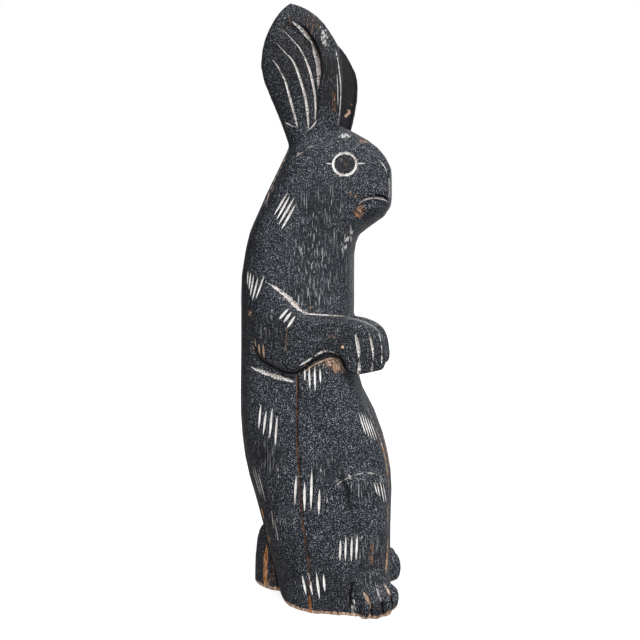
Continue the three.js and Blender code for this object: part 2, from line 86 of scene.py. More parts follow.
# The rods that cut the lines
CUT_STEP = 3.0 * MM
FINE_STEP = 2.0 * MM
SCRATCH_STEP = 2.5 * MM
EYE_RING_STEP = 1.8 * MM
START_OUTSIDE = 190  # how far out a line starts before it is dropped, in millimetres
DROP_REACH = 0.4
ROD_SIDES = 8
ROD_TIP = 0.12  # the least share of the width, at the ends of a cut
RAGGED_SCALE = 260

# How many steps a line is drawn in before its curve is evened out
STROKE_STEPS = 4
MARK_STEPS = 6
LINE_STEPS = 40
EYE_RING_STEPS = 60
BROKEN_STEPS = 150


# Small helpers

def on_side(x, outward, z, side):
    """A point in metres, given in millimetres as reach ahead, distance from the middle and height."""
    return Vector((x * MM, -side * outward * MM, z * MM))


def smooth_line(points, steps):
    """A Catmull-Rom line through points, as a list of steps + 1 vectors."""
    points = [Vector(p) for p in points]
    ends = [2 * points[0] - points[1]] + points + [2 * points[-1] - points[-2]]
    spans = len(points) - 1
    line = []
    for i in range(steps + 1):
        place = spans * i / steps
        k = min(int(place), spans - 1)
        t = place - k
        a, b, c, d = ends[k:k + 4]
        line.append(0.5 * (2 * b + (c - a) * t + (2 * a - 5 * b + 4 * c - d) * t * t
                           + (3 * b - a - 3 * c + d) * t ** 3))
    return line


def new_object(name, data):
    made = bpy.data.objects.new(name, data)
    bpy.context.scene.collection.objects.link(made)
    return made


class Nodes:
    """Short calls for building a node tree."""

    MIX_PART, MIX_UNDER, MIX_OVER, MIXED = 0, 6, 7, 2  # a Mix node's sockets for colours

    def __init__(self, tree):
        self.tree = tree

    def feed(self, socket, value):
        if isinstance(value, bpy.types.NodeSocket):
            self.tree.links.new(value, socket)
        elif value is not None:
            socket.default_value = value

    def node(self, kind, inputs=None, **settings):
        """A new node; inputs holds a number, colour or link for its sockets."""
        made = self.tree.nodes.new(kind)
        for key, value in settings.items():
            setattr(made, key, value)
        for key, value in (inputs or {}).items():
            self.feed(made.inputs[key], value)
        return made

    def maths(self, operation, a, b=None):
        return self.node("ShaderNodeMath", {0: a, 1: b}, operation=operation).outputs[0]

    def ramp(self, value, low, high, to_low=0.0, to_high=1.0):
        """The value eased from low..high to to_low..to_high."""
        inputs = {"Value": value, "From Min": low, "From Max": high, "To Min": to_low, "To Max": to_high}
        return self.node("ShaderNodeMapRange", inputs, interpolation_type="SMOOTHSTEP").outputs["Result"]

    def blend(self, part, under, over):
        inputs = {self.MIX_PART: part, self.MIX_UNDER: under, self.MIX_OVER: over}
        return self.node("ShaderNodeMix", inputs, data_type="RGBA").outputs[self.MIXED]

    def place(self, stretch=(1, 1, 1)):
        coordinates = self.node("ShaderNodeTexCoord").outputs["Object"]
        return self.node("ShaderNodeMapping", {"Vector": coordinates, "Scale": stretch}).outputs["Vector"]

    def noise(self, vector, scale, detail=2.0, roughness=0.5):
        inputs = {"Vector": vector, "Scale": scale, "Detail": detail, "Roughness": roughness}
        return self.node("ShaderNodeTexNoise", inputs).outputs["Fac"]

    def swing(self, vector, scale, detail, roughness, reach):
        """Noise about 0."""
        around = self.maths("SUBTRACT", self.noise(vector, scale, detail, roughness), 0.5)
        return self.maths("MULTIPLY", around, reach)

    def value_of(self, name):
        return self.node("ShaderNodeAttribute", attribute_name=name).outputs["Fac"]

    def bumped(self, height, strength, distance, under=None):
        inputs = {"Height": height, "Strength": strength, "Distance": distance, "Normal": under}
        return self.node("ShaderNodeBump", inputs).outputs["Normal"]

    def group(self, tree, **values):
        return self.node("ShaderNodeGroup", values, node_tree=tree).outputs


def new_material(name):
    material = bpy.data.materials.new(name)
    material.use_nodes = True
    return material, Nodes(material.node_tree), material.node_tree.nodes["Principled BSDF"].inputs


# Camera, light and floor

def make_camera():
    data = bpy.data.cameras.new("camera")
    data.lens = CAMERA_LENS
    data.sensor_width = CAMERA_SENSOR
    data.shift_y = CAMERA_SHIFT_Y
    data.clip_start = CAMERA_NEAREST
    camera = new_object("camera", data)
    ahead = CAMERA_DISTANCE * math.sin(CAMERA_TURN)
    aside = CAMERA_DISTANCE * math.cos(CAMERA_TURN)
    camera.location = (ahead, -aside, CAMERA_HEIGHT)
    camera.rotation_euler = (math.radians(90), 0, CAMERA_TURN)
    bpy.context.scene.camera = camera


def make_sun(name, towards, softness, strength):
    data = bpy.data.lights.new(name, "SUN")
    data.angle = math.radians(softness)
    data.energy = strength
    new_object(name, data).rotation_euler = Vector(towards).to_track_quat("-Z", "Y").to_euler()


def make_light():
    """A white room: the eye sees it plain white, while less light reaches the figure from it."""
    world = bpy.data.worlds.new("studio")
    world.use_nodes = True
    n = Nodes(world.node_tree)
    seen = n.node("ShaderNodeLightPath").outputs["Is Camera Ray"]
    strength = n.node("ShaderNodeMapRange", {"Value": seen, "To Min": ROOM_LIGHT, "To Max": 1})
    background = world.node_tree.nodes["Background"].inputs
    n.feed(background["Color"], WHITE)
    n.feed(background["Strength"], strength.outputs["Result"])
    bpy.context.scene.world = world
    bpy.context.scene.view_settings.view_transform = "Standard"
    make_sun("high soft light", KEY_TOWARDS, KEY_SOFTNESS, KEY_STRENGTH)
    make_sun("far side light", FILL_TOWARDS, FILL_SOFTNESS, FILL_STRENGTH)


def make_floor():
    data = bpy.data.meshes.new("floor")
    corners = [(x * FLOOR_REACH, y * FLOOR_REACH, 0) for x, y in ((-1, -1), (1, -1), (1, 1), (-1, 1))]
    data.from_pydata(corners, [], [(0, 1, 2, 3)])
    floor = new_object("floor", data)
    material, n, shader = new_material("pale floor")
    shader["Base Color"].default_value = FLOOR_GREY
    shader["Roughness"].default_value = FLOOR_ROUGHNESS
    shader["Emission Color"].default_value = WHITE
    seen = n.node("ShaderNodeLightPath").outputs["Is Camera Ray"]
    n.feed(shader["Emission Strength"], n.maths("MULTIPLY", seen, FLOOR_GLOW))
    data.materials.append(material)


# The carved skin: the solid's own surface with its facets rounded off, kept crisp near carved detail

# Places of fine carving, as [x, distance from the middle, z, radius], in millimetres
CRISP_PLACES = [
    [50, 62, 690, 22], [-60, 82, 395, 45], [15, 72, 390, 45],
    [95, 55, 25, 60], [-85, 25, 60, 60],
]


def merged_copy(node):
    data = bpy.data.objects[node].data.copy()
    mesh = bmesh.new()
    mesh.from_mesh(data)
    bmesh.ops.remove_doubles(mesh, verts=mesh.verts, dist=SAME_POINT)
    mesh.to_mesh(data)
    mesh.free()
    return data


def applied(piece):
    """The piece's mesh with its modifiers worked in; the modifiers are then removed."""
    graph = bpy.context.evaluated_depsgraph_get()
    data = bpy.data.meshes.new_from_object(piece.evaluated_get(graph))
    piece.modifiers.clear()
    old = piece.data
    piece.data = data
    bpy.data.meshes.remove(old)
    return data


def vertex_places(data):
    places = np.empty(len(data.vertices) * 3)
    data.vertices.foreach_get("co", places)
    return places.reshape(-1, 3)


def vertex_normals(data):
    normals = np.empty(len(data.vertices) * 3)
    data.vertex_normals.foreach_get("vector", normals)
    return normals.reshape(-1, 3)


def move_vertices(data, places):
    data.vertices.foreach_set("co", places.ravel())
    data.update()


def edge_ends(data):
    ends = np.empty(len(data.edges) * 2, dtype=np.int64)
    data.edges.foreach_get("vertices", ends)
    return ends.reshape(-1, 2)


def distance_to(mm, x, outward, z):
    """How far points in millimetres are from a place, which is there on both sides."""
    return np.sqrt((mm[:, 0] - x) ** 2 + (np.abs(mm[:, 1]) - outward) ** 2 + (mm[:, 2] - z) ** 2)


def crispness(places):
    """1 where the carving is fine and the skin must stay crisp, 0 on the broad surfaces."""
    crisp = np.zeros(len(places))
    for *place, radius in CRISP_PLACES:
        crisp = np.maximum(crisp, np.clip((radius - distance_to(places / MM, *place)) / CRISP_FADE, 0, 1))
    return crisp


def neighbour_mean(values, ends, count):
    total = np.zeros_like(values)
    for axis in range(values.shape[1]):
        total[:, axis] = (np.bincount(ends[:, 0], values[ends[:, 1], axis], len(values))
                          + np.bincount(ends[:, 1], values[ends[:, 0], axis], len(values)))
    return total / count[:, None]


def round_off(data):
    """Evens out the facets, hardly shrinking the form, and leaves the flat underside flat."""
    places = vertex_places(data)
    ends = edge_ends(data)
    count = np.maximum(np.bincount(ends.ravel(), minlength=len(places)), 1)
    broad = 1 - CRISP_HOLD * crispness(places)
    standing = places[:, 2] < UNDERSIDE_RIM
    heights = places[:, 2].copy()
    for pull in SMOOTHING_PULLS * SMOOTHING_ROUNDS:
        mean = neighbour_mean(places, ends, count)
        places += pull * broad[:, None] * (mean - places)
        places[standing, 2] = heights[standing]
    move_vertices(data, places)


# Soft relief beside the carved lines: [depth, reach, points as (x, distance from the middle, z)],
# in millimetres; below 0 it stands out
SOFT_RELIEF = [
    # round the knee, and the roll over its top
    [4.6, 10, [(44, 76, 208), (52, 77, 196), (55, 77, 184), (57, 77, 170), (62, 75, 156)]],
    [4.2, 12, [(40, 75, 210), (54, 75, 222), (75, 71, 229), (97, 61, 227), (113, 48, 214)]],
    [-1.8, 7, [(50, 75, 203), (61, 74, 211), (77, 69, 216), (92, 62, 216), (106, 53, 210)]],
    # the hollow of the ear, and the step before it
    [2.0, 15, [(-12, 62, 895), (2, 62, 872), (6, 60, 845), (5, 58, 815), (2, 57, 785)]],
    [-1.0, 9, [(10, 60, 915), (22, 60, 880), (27, 58, 845), (26, 56, 810)]],
    # the jaw under the lip
    [3.2, 10, [(78, 53, 624), (86, 50, 630), (98, 45, 633), (108, 38, 632), (116, 26, 629)]],
    [-1.2, 8, [(74, 54, 643), (86, 52, 651), (100, 46, 654), (112, 36, 652)]],
    # over and under the forearm
    [1.6, 9, [(-8, 76, 471), (20, 72, 469), (40, 60, 468), (55, 48, 467)]],
    [3.2, 8, [(-92, 74, 412), (-84, 74, 384), (-57, 76, 371),
              (-33, 76, 361), (-14, 76, 364), (2, 76, 376)]],
    [3.2, 8, [(2, 76, 376), (22, 69, 388), (38, 62, 390), (49, 52, 378), (57, 46, 360)]],
    # the end of the paw
    [4.5, 21, [(117, 62, 440), (118, 62, 415), (118, 62, 394)]],
    [-2.5, 13, [(112, 68, 372), (112, 52, 372)]],
    # between the toes
    [3.0, 7, [(89, 78, 34), (95, 79, 20), (98, 77, 4)]],
    [3.0, 7, [(105, 68, 36), (111, 70, 20), (114, 69, 4)]],
    [2.6, 7, [(119, 56, 36), (125, 58, 22), (128, 57, 6)]],
    # round the foot and the tail
    [4.8, 9, [(60, 76, 24), (62, 75, 40), (72, 72, 56), (86, 67, 68), (104, 57, 68)]],
    [2.4, 9, [(-79, 60, 124), (-80, 40, 90), (-77, 30, 64), (-70, 32, 30), (-66, 33, 4)]],
]


def press(data):
    """Presses the soft relief into the skin."""
    places = vertex_places(data)
    moved = np.zeros(len(places))
    for depth, reach, points in SOFT_RELIEF:
        for side in BOTH_SIDES:
            line = smooth_line([on_side(*point, side) for point in points], RELIEF_STEPS)
            near = np.min([((places - np.array(point)) ** 2).sum(axis=1) for point in line], axis=0)
            part = np.clip(1 - np.sqrt(near) / (reach * MM), 0, 1)
            moved += depth * MM * part * part * (3 - 2 * part)
    moved *= np.clip(places[:, 2] / RELIEF_FADE, 0, 1)
    move_vertices(data, places - vertex_normals(data) * moved[:, None])


def make_skin():
    skin = new_object("rabbit_skin", merged_copy("carved_rabbit"))
    remesh = skin.modifiers.new("even faces", "REMESH")
    remesh.mode = "VOXEL"
    remesh.voxel_size = SKIN_GRAIN
    remesh.adaptivity = 0
    data = applied(skin)
    round_off(data)
    press(data)
    return skin


# Lines cut into the skin

def cutter_tree():
    """A node tree that lays cutting rods along lines dropped onto the skin."""
    tree = bpy.data.node_groups.new("cut along lines", "GeometryNodeTree")
    sockets = [("Lines", "Geometry"), ("Skin", "Object"), ("Width", "Float"), ("Depth", "Float"),
               ("Bluntness", "Float"), ("Raggedness", "Float"), ("Step", "Float"), ("Finish", "Material")]
    for name, kind in sockets:
        tree.interface.new_socket(name, in_out="INPUT", socket_type="NodeSocket" + kind)
    tree.interface.new_socket("Rods", in_out="OUTPUT", socket_type="NodeSocketGeometry")
    n = Nodes(tree)
    given = n.node("NodeGroupInput").outputs
    width, depth = given["Width"], given["Depth"]

    # Curves of even steps, dropped onto the skin along their aim
    curve = n.node("GeometryNodeMeshToCurve", {"Mesh": given["Lines"]})
    even = n.node("GeometryNodeResampleCurve",
                  {"Curve": curve.outputs["Curve"], "Length": given["Step"]}, mode="LENGTH")
    skin = n.node("GeometryNodeObjectInfo", {"Object": given["Skin"]})
    aim = n.node("GeometryNodeInputNamedAttribute", {"Name": "aim"}, data_type="FLOAT_VECTOR")
    drop = n.node("GeometryNodeRaycast", {
        "Target Geometry": skin.outputs["Geometry"],
        "Ray Direction": aim.outputs["Attribute"],
        "Ray Length": DROP_REACH,
    })

    # The rod's radius follows from the width and depth of the cut, and swells between its ends
    half = n.maths("MULTIPLY", width, 0.5)
    square = n.maths("ADD", n.maths("MULTIPLY", half, half), n.maths("MULTIPLY", depth, depth))
    radius = n.maths("DIVIDE", square, n.maths("MULTIPLY", depth, 2.0))
    along = n.node("GeometryNodeSplineParameter").outputs["Factor"]
    arch = n.maths("SINE", n.maths("MULTIPLY", along, math.pi))
    swell = n.maths("POWER", n.maths("MAXIMUM", arch, 0.0), n.maths("SUBTRACT", 1.0, given["Bluntness"]))
    ragged = n.swing(None, RAGGED_SCALE, 2.0, 0.5, given["Raggedness"])
    share = n.node("GeometryNodeInputNamedAttribute", {"Name": "share"}, data_type="FLOAT")
    full = n.maths("MULTIPLY", n.maths("MAXIMUM", swell, ROD_TIP), share.outputs["Attribute"])
    size = n.maths("MULTIPLY", full, n.maths("ADD", ragged, 1.0))
    lift = n.maths("MULTIPLY", n.maths("SUBTRACT", radius, depth), size)

    # The rod lies so far above the skin that it cuts to its depth
    raised = n.node("ShaderNodeVectorMath", {0: drop.outputs["Hit Normal"], "Scale": lift},
                    operation="SCALE")
    place = n.node("ShaderNodeVectorMath", {0: drop.outputs["Hit Position"], 1: raised.outputs["Vector"]},
                   operation="ADD")
    lay = n.node("GeometryNodeSetPosition", {
        "Geometry": even.outputs["Curve"],
        "Selection": drop.outputs["Is Hit"],
        "Position": place.outputs["Vector"],
    })
    thick = n.node("GeometryNodeSetCurveRadius",
                   {"Curve": lay.outputs["Geometry"], "Radius": n.maths("MULTIPLY", radius, size)})
    ring = n.node("GeometryNodeCurvePrimitiveCircle", {"Resolution": ROD_SIDES, "Radius": 1},
                  mode="RADIUS")
    rod = n.node("GeometryNodeCurveToMesh", {
        "Curve": thick.outputs["Curve"],
        "Profile Curve": ring.outputs["Curve"],
        "Scale": n.node("GeometryNodeInputRadius").outputs["Radius"],
        "Fill Caps": True,
    })
    real = n.node("GeometryNodeRealizeInstances", {"Geometry": rod.outputs["Mesh"]})
    finish = n.node("GeometryNodeSetMaterial",
                    {"Geometry": real.outputs["Geometry"], "Material": given["Finish"]})
    n.node("NodeGroupOutput", {"Rods": finish.outputs["Geometry"]})
    return tree


def line_mesh(lines):
    """Lines of (point, aim, share of the width) as a mesh of edges that carries each point's values."""
    points, edges, aims, shares = [], [], [], []
    for line in lines:
        first = len(points)
        for point, aim, share in line:
            points.append(point)
            aims.extend(aim)
            shares.append(share)
        edges += [(k, k + 1) for k in range(first, len(points) - 1)]
    data = bpy.data.meshes.new("lines")
    data.from_pydata(points, edges, [])
    data.attributes.new("aim", "FLOAT_VECTOR", "POINT").data.foreach_set("vector", aims)
    data.attributes.new("share", "FLOAT", "POINT").data.foreach_set("value", shares)
    return data


class Cutter:
    """Cuts grooves into the skin with rods of one node tree; the grooves' walls take a finish."""

    def __init__(self, skin, finishes):
        self.skin = skin
        self.finishes = finishes
        self.tree = cutter_tree()

    def cut(self, lines, width, depth, finish, bluntness, raggedness, step=CUT_STEP):
        """Cuts along the lines; width and depth are in millimetres."""
        rods = new_object("rods", line_mesh(lines))
        modifier = rods.modifiers.new("rods", "NODES")
        modifier.node_group = self.tree
        values = {
            "Skin": self.skin, "Width": width * MM, "Depth": depth * MM, "Bluntness": bluntness,
            "Raggedness": raggedness, "Step": step, "Finish": self.finishes[finish],
        }
        for item in self.tree.interface.items_tree:
            if item.item_type == "SOCKET" and item.name in values:
                modifier[item.identifier] = values[item.name]
        applied(rods)
        joint = self.skin.modifiers.new("cut", "BOOLEAN")
        joint.operation = "DIFFERENCE"
        joint.solver = "MANIFOLD"
        joint.object = rods
        joint.material_mode = "TRANSFER"
        applied(self.skin)
        bpy.data.objects.remove(rods)


def side_line(points, side, steps, turn=0, share=(1, 1)):
    """A line over one side through (x, outward, z) or (x, z) points. Turn swings its aim round from
    the side: above 0 it looks at the back edge, below 0 at the front. Its share of the width runs
    evenly from one end to the other."""
    away = math.radians(turn)
    aim = Vector((math.sin(away), side * math.cos(away), 0))
    outside = aim * START_OUTSIDE * MM
    line = smooth_line([on_side(*(p if len(p) == 3 else (p[0], 0, p[1])), side) for p in points], steps)
    spread = share[1] - share[0]
    return [(point - outside, aim, share[0] + spread * k / steps) for k, point in enumerate(line)]


DASH_LENGTHS = (0.75, 1.1)  # as shares of the length that is to be drawn
DASH_END = 0.97  # a dash ends before the next one's place
DASH_FEWEST = 3  # points


def dashes(line, count, drawn, chance):
    """Parts of a line with gaps of uneven length between them; drawn is the share that is kept."""
    parts = []
    length = len(line)
    for k in range(count):
        first = (k + chance.uniform(0, 1 - drawn)) / count
        last = min(first + drawn * chance.uniform(*DASH_LENGTHS) / count, (k + DASH_END) / count)
        part = line[int(first * length):int(last * length) + 1]
        if len(part) >= DASH_FEWEST:
            parts.append(part)
    return parts


# Straight gouge strokes, top and foot of each as (x, z), in millimetres, under the name of their place
NECK = [[(-38, 649), (-60, 615)], [(-34, 644), (-55, 608)], [(-27, 640), (-52, 599)],
        [(-25, 629), (-47, 592)]]
ELBOW_CROOK = [[(-31, 467), (-45, 451)], [(-26, 462), (-38, 446)], [(-20, 456), (-32, 438)]]
BELOW_FOREARM = [[(-9, 374), (-8, 356)], [(-2, 375), (0, 344)], [(7, 378), (8, 340)],
                 [(15, 375), (16, 353)]]
FLANK = [[(-78, 317), (-82, 279)], [(-69, 308), (-74, 270)], [(-59, 312), (-63, 266)],
         [(-51, 300), (-54, 255)]]
HIP = [[(-20, 210), (-22, 171)], [(-7, 201), (-7, 158)], [(4, 221), (3, 160)], [(16, 191), (15, 153)]]
SHIN = [[(48, 116), (47, 84)], [(56, 121), (55, 84)], [(65, 122), (64, 83)], [(73, 124), (71, 86)]]
BASE = [[(-11, 57), (-5, 28)], [(-2, 63), (5, 29)], [(11, 64), (16, 24)], [(22, 62), (24, 36)]]
ELBOW_BACK = [[(-89, 420), (-89, 402)], [(-80, 412), (-80, 395)], [(-72, 411), (-71, 390)]]

# Strokes that lie round towards the back or the front, as (x, distance from the middle, z)
SHOULDER = [
    [(-105, 62, 527), (-106, 64, 505)], [(-99, 66, 524), (-102, 66, 497)],
    [(-93, 69, 520), (-99, 68, 487)], [(-85, 72, 516), (-95, 71, 480)], [(-74, 73, 519), (-88, 73, 482)],
]
NAPE_EDGE = [
    [(-74, 44, 664), (-77, 56, 631)], [(-78, 47, 648), (-84, 49, 633)], [(-62, 53, 666), (-69, 54, 653)],
]
LOW_BACK = [[(-96, 66, 216), (-82, 70, 170)], [(-91, 70, 217), (-77, 73, 165)],
            [(-85, 74, 213), (-72, 75, 164)]]
THIGH_BACK = [[(-61, 77, 152), (-58, 77, 122)], [(-56, 77, 138), (-50, 76, 103)]]
BELLY_FRONT = [
    [(73, 54, 305), (84, 55, 273)], [(77, 52, 304), (89, 52, 268)], [(81, 49, 301), (93, 49, 265)],
    [(85, 46, 297), (97, 46, 262)], [(89, 42, 292), (100, 42, 262)],
]
KNEE = [[(98, 65, 203), (102, 62, 186)], [(102, 62, 202), (106, 58, 180)],
        [(106, 57, 203), (112, 51, 168)], [(110, 51, 198), (115, 43, 165)]]

# All of them, as [strokes, width, depth, finish, bluntness, turn of the aim]
STROKES = [
    [NECK, 4.0, 1.8, "pale", 0.25, 0],
    [ELBOW_CROOK, 4.6, 1.9, "pale", 0.35, 0],
    [BELOW_FOREARM, 3.4, 1.6, "pale", 0.25, 0],
    [FLANK, 3.9, 1.8, "pale", 0.25, 0],
    [HIP, 4.2, 1.9, "pale", 0.25, 0],
    [SHIN, 3.6, 1.6, "pale", 0.25, 0],
    [BASE, 4.2, 1.8, "pale", 0.25, 0],
    [ELBOW_BACK, 4.4, 2.0, "tan", 0.4, 0],
    [SHOULDER, 3.4, 1.6, "pale", 0.25, 15],
    [NAPE_EDGE, 1.8, 0.8, "grey", 0.25, 30],
    [LOW_BACK, 2.2, 1.0, "grey", 0.25, 20],
    [THIGH_BACK, 2.2, 1.0, "grey", 0.25, 0],
    [BELLY_FRONT, 2.3, 1.0, "pale", 0.25, -10],
    [KNEE, 2.3, 1.0, "pale", 0.25, -10],
]
STROKE_RAGGEDNESS = 0.3


def carve_strokes(cutter):
    for pairs, width, depth, finish, bluntness, turn in STROKES:
        lines = [side_line(pair, side, STROKE_STEPS, turn) for side in BOTH_SIDES for pair in pairs]
        cutter.cut(lines, width, depth, finish, bluntness, STROKE_RAGGEDNESS)


# Longer lines, as (x, z) or (x, distance from the middle, z), in millimetres
EAR_FOLDS = [
    [(-65, 864), (-56, 852), (-44, 829), (-37, 804), (-30, 776), (-26, 757)],
    [(-58, 889), (-45, 874), (-29, 855), (-17, 822), (-10, 791), (-8, 753)],
    [(-45, 907), (-32, 892), (-18, 874), (-5, 845), (2, 813), (4, 783), (3, 765)],
]
EAR_STEP_TOP = [(-33, 921), (-18, 907), (-6, 892), (2, 880)]
EAR_STEP = [(-1, 884), (5, 868), (10, 851), (11, 834), (9, 812)]
EAR_STEP_SHADE = [(-22, 917), (-8, 902), (4, 883), (12, 864), (15, 844), (14, 826)]
EAR_FOOT = [[(-48, 767), (-38, 761), (-27, 756)], [(-9, 750), (0, 756), (8, 767)]]
EAR_RIM = [(37, 58, 872), (42, 56, 842), (44, 50, 816), (43, 46, 799), (41, 43, 778), (37, 38, 758)]
EAR_RIM_TWIN = [(39, 57, 833), (40, 54, 809), (39, 49, 787)]
SHOULDER_LINE = [(-71, 509), (-56, 500), (-42, 490), (-28, 477), (-16, 465), (-4, 460)]
FOREARM_TOP = [(-14, 459), (10, 458), (35, 456), (53, 455)]
BELOW_ELBOW = [(-98, 375), (-84, 370), (-70, 366), (-54, 361), (-39, 357), (-26, 354)]
UNDER_ARM = [(-93, 420), (-90, 403), (-81, 388), (-57, 376), (-33, 367), (-15, 371), (2, 384), (24, 396),
             (38, 396), (48, 384), (54, 369)]
UNDER_ARM_LEDGE = [(-12, 366), (2, 378), (14, 384), (27, 389), (37, 388), (46, 377), (52, 366)]
UNDER_ARM_EDGE = [(-14, 380), (2, 390), (20, 401), (34, 401), (46, 392)]
FIRST_GROOVE = [(70, 429), (73, 414), (75, 400), (75, 392)]
FIRST_GROOVE_FOOT = [(75, 386), (76, 377), (73, 366)]
SECOND_GROOVE = [(90, 430), (94, 414), (96, 400), (96, 390)]
SECOND_GROOVE_FOOT = [(95, 385), (95, 378), (93, 370)]
LIP = [(70, 629), (76, 635), (83, 640), (89, 642), (95, 643), (103, 643), (111, 642), (119, 639)]
LIP_EDGE = [(73, 54, 629), (76, 54, 632), (83, 52, 636), (89, 50, 638), (95, 48, 639), (103, 43, 639),
            (111, 36, 638), (117, 26, 636)]
DRYING_CRACK = [(-21, 368), (-20, 316), (-20, 264), (-16, 220), (-12, 160), (-6, 112), (0, 65), (-2, 28),
                (0, 1)]
CRACK_TRACE = [(-33, 398), (-34, 412), (-33, 428), (-31, 440)]
CRACK_WEDGE = [(0, 28), (1, 14), (1, 0)]
# a pale line over the roll of the knee: a shallow grey cut, partly a painted highlight where the roll
# faces up
KNEE_ARC_HIGHLIGHT = [(42, 76, 198), (51, 74, 205), (61, 73, 212), (77, 69, 217), (91, 62, 217), (104, 54, 211),
            (112, 45, 198)]
TAIL_JOIN = [(-80, 62, 124), (-81, 45, 100), (-79, 30, 66), (-71, 32, 34), (-66, 33, 3)]
TOE_GROOVES = [
    [(85, 76, 39), (89, 76, 33), (94, 78, 24), (97, 77, 15)],
    [(102, 64, 42), (106, 66, 33), (110, 68, 23)],
    [(113, 54, 43), (119, 54, 35), (124, 58, 25)],
]
TOE_GAPS = [
    [(92, 78, 30), (97, 78, 17), (99, 77, 2)],
    [(107, 68, 30), (112, 70, 17), (115, 69, 3)],
    [(121, 56, 31), (126, 58, 19), (129, 57, 6)],
]
FOOT_BACK = [(68, 50), (63, 42), (61, 30), (62, 18), (66, 5)]

HEAD_EDGE = [(103, 38, 701), (107, 37, 695), (112, 33, 688), (115, 31, 680)]
NOSE_EDGE = [(117, 27, 675), (118, 25, 664), (118, 25, 655), (117, 25, 641)]
NAPE_MARKS = [[(-27, 707), (-20, 711), (-13, 714)], [(-9, 719), (-2, 722), (5, 723)]]
PAW_EDGE = [(78, 60, 449), (98, 60, 443), (107, 60, 431), (111, 60, 416), (112, 60, 398), (109, 60, 378)]

EDGE_SEED = 3


def carve_lines(cutter):
    # cuts with the "shade" finish paint their creases near-black, as painted shade
    chance = random.Random(EDGE_SEED)

    def carve(points, width, depth, finish, bluntness=0.6, raggedness=0.6, turn=0, share=(1, 1),
              on=BOTH_SIDES):
        lines = [side_line(points, side, LINE_STEPS, turn, share) for side in on]
        cutter.cut(lines, width, depth, finish, bluntness, raggedness)

    def broken(points, width, depth, finish, count, drawn, turn=0, raggedness=1.0):
        lines = []
        for side in BOTH_SIDES:
            lines += dashes(side_line(points, side, BROKEN_STEPS, turn), count, drawn, chance)
        cutter.cut(lines, width, depth, finish, 0.5, raggedness, FINE_STEP)

    for fold, width in zip(EAR_FOLDS, (5.4, 5.6, 5.2)):
        carve(fold, width, 2, "ragged", share=(0.3, 1.05))
    carve(EAR_STEP_SHADE, 4.5, 3.5, "shade", 0.4)
    carve(EAR_STEP_TOP, 6.0, 2.0, "ragged", 0.4, 1.4)
    carve(EAR_STEP, 8.6, 2.4, "mottled", 0.4, 1.0)
    for part in EAR_FOOT:
        carve(part, 2.6, 1.4, "ragged", 0.3)
    carve(EAR_RIM, 2.8, 1.1, "ragged", 0.5, 1.0, -40)
    carve(EAR_RIM_TWIN, 1.8, 0.7, "chalk", 0.4, 1.0, -20)

    carve(SHOULDER_LINE, 8.4, 2.5, "ragged", 0.4, 1.5, share=(0.5, 1.15))
    carve(FOREARM_TOP, 3.2, 1.3, "ragged", 0.3, 0.9, share=(1.2, 0.5))
    carve(BELOW_ELBOW, 7.0, 2.3, "ragged", 0.6, 1.4, share=(0.7, 1.1))
    broken(UNDER_ARM_EDGE, 5.0, 1.5, "ragged", 3, 0.95, raggedness=1.8)
    carve(UNDER_ARM_LEDGE, 3.2, 1.6, "tan", 0.5, 0.9)
    carve(UNDER_ARM, 5.0, 4.5, "shade", 0.6, 0.3)

    carve(LIP_EDGE, 2.6, 1.1, "ragged", 0.5, 0.5, -20)
    carve(LIP, 3.4, 5.0, "shade", 0.85, 0.2)
    carve(HEAD_EDGE, 2.2, 0.8, "chalk", 0.3, 1.2, -40)
    carve(NOSE_EDGE, 6.0, 1.6, "grey", 0.5, 0.5, -55)
    for mark in NAPE_MARKS:
        carve(mark, 2.4, 0.8, "grey", 0.3, 1.6)
    broken(PAW_EDGE, 3.2, 1.2, "ragged", 5, 0.9, -30)
    carve(FIRST_GROOVE, 6.0, 3.0, "ragged", 0.4, 0.9)
    carve(FIRST_GROOVE_FOOT, 5.5, 2.8, "ragged", 0.5, 0.9)
    carve(SECOND_GROOVE, 3.6, 2.2, "ragged", 0.3, 0.9)
    carve(SECOND_GROOVE_FOOT, 3.8, 2.2, "ragged", 0.4, 0.9)

    carve(DRYING_CRACK, 2.6, 3.5, "split", 0.85, 0.9, share=(0.7, 1.25), on=[RIGHT])
    carve(CRACK_TRACE, 1.3, 0.6, "split", 0.4, 1.2, on=[RIGHT])
    carve(CRACK_WEDGE, 7.0, 2.6, "amber", 0.7, 0.4, share=(0.4, 1.1), on=[RIGHT])
    broken(KNEE_ARC_HIGHLIGHT, 2.0, 0.8, "grey", 5, 0.85, -10)
    carve(TAIL_JOIN, 5.0, 3.0, "shade", 0.8, 0.3, 30)

    for gap in TOE_GAPS:
        carve(gap, 4.0, 4.0, "shade", 0.7, 0.3, -40)
    for groove, width, finish in zip(TOE_GROOVES, (6.0, 3.2, 4.4), ("tan", "ragged", "tan")):
        carve(groove, width, 2.6, finish, 0.35, 0.7, -35)
    carve(FOOT_BACK, 3.5, 3.0, "shade", 0.6, 0.4)


# Wear along edges, drawn as broken lines: [width, finish, parts, share drawn, turn, points]
WORN_EDGES = [
    [5.0, "tan", 6, 0.8, 35, [(-46, 45, 711), (-58, 46, 690), (-67, 47, 670), (-79, 53, 636)]],
    [3.0, "tan", 7, 0.9, -60, [(82, 22, 306), (92, 20, 284), (101, 18, 262), (107, 15, 246)]],
    [5.0, "amber", 5, 0.9, -55, [(107, 16, 244), (111, 17, 226), (114, 20, 206), (116, 26, 180)]],
    [5.5, "amber", 4, 0.95, -55, [(116, 28, 99), (115, 34, 80), (114, 38, 58)]],
    [4.5, "amber", 3, 0.8, 30, [(-84, 66, 150), (-76, 62, 118), (-68, 61, 92)]],
]
WORN_DEPTH = 0.32  # as a share of the width

